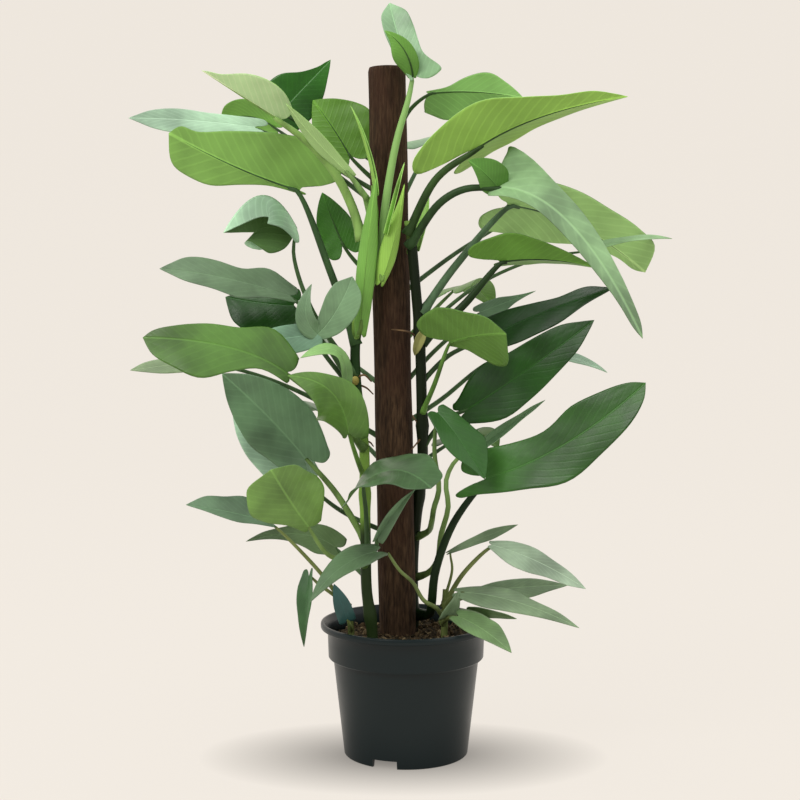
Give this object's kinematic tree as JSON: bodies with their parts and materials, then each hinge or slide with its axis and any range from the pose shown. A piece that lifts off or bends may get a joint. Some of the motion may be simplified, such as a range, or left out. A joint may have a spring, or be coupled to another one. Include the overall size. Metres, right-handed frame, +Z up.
{
  "type": "potted silver queen philodendron",
  "caption": "Climbing philodendron with silvery arrow-shaped leaves on a fibre pole, rooted in bark mix in a round dark plastic nursery pot that stands on a flat surface.",
  "frame": {"origin": "centre of the pot's foot, on the surface that it stands on", "axes": "+Z up along the pot's axis, +X to the right and -Y to the front of the plant as pictured"},
  "size_m": [0.6083, 0.3585, 0.8252],
  "materials": {
    "pot_plastic": "satin dark grey-green moulded plastic",
    "bark_mix": "loose bark chips and fibre, matte",
    "pole_fibre": "rough dark brown fibre, matte",
    "stem_green": "smooth green stem with tan nodes",
    "leaf_lime": "satin lime green young leaf",
    "leaf_young": "satin pale silvery new leaf",
    "leaf_green": "satin mid green leaf, yellower underneath",
    "leaf_silver": "satin silvery blue-green leaf, yellower underneath",
    "leaf_dark": "satin dark green leaf"
  },
  "bodies": {
    "root": {"pot": "pot_plastic", "potting_mix": "bark_mix", "pole": "pole_fibre", "stem_left": "stem_green", "stem_right": "stem_green", "stem_back": "stem_green", "shoot_low_right": "leaf_silver", "shoot_low_left": "leaf_silver", "leaf_top_new": "leaf_young", "leaf_right_top_back": "leaf_green", "leaf_right_lime": "leaf_lime", "leaf_right_silver_long": "leaf_silver", "leaf_right_under_big": "leaf_green", "leaf_right_narrow": "leaf_silver", "leaf_right_under_flat": "leaf_green", "leaf_right_small_back": "leaf_silver", "leaf_right_dark_upper": "leaf_dark", "leaf_right_dark_lower": "leaf_dark", "leaf_right_pale_back": "leaf_silver", "leaf_centre_short": "leaf_green", "leaf_right_narrow_grey": "leaf_silver", "leaf_right_big_low": "leaf_green", "leaf_centre_dark_small": "leaf_dark", "leaf_centre_front": "leaf_silver", "leaf_left_lime": "leaf_lime", "leaf_left_lime_back": "leaf_lime", "leaf_left_dark_top": "leaf_dark", "leaf_left_silver_far": "leaf_silver", "leaf_left_under_big": "leaf_green", "leaf_left_green_back": "leaf_green", "leaf_left_round": "leaf_green", "leaf_left_spear": "leaf_lime", "leaf_left_silver_arch": "leaf_silver", "leaf_left_inner": "leaf_green", "leaf_left_silver_long": "leaf_silver", "leaf_left_dark_behind": "leaf_dark", "leaf_left_grey_lobed": "leaf_silver", "leaf_left_bright": "leaf_green", "leaf_left_pale_back": "leaf_silver", "leaf_left_small_arch": "leaf_green", "leaf_left_hanging": "leaf_silver", "leaf_left_hanging_back": "leaf_silver", "leaf_left_front_green": "leaf_green", "leaf_left_low_green": "leaf_green", "leaf_left_low_silver": "leaf_silver", "leaf_left_front_low": "leaf_green", "leaf_centre_folded": "leaf_silver", "leaf_rear_top_left": "leaf_silver", "leaf_rear_top_right": "leaf_silver", "leaf_rear_high_right": "leaf_silver", "leaf_rear_mid_right": "leaf_green", "leaf_rear_mid_left": "leaf_silver", "leaf_rear_low_left": "leaf_silver", "leaf_rear_low_right": "leaf_dark", "leaf_rear_centre": "leaf_silver", "sheath_left": "leaf_lime", "sheath_right_back": "leaf_lime"}
  },
  "joints": []
}
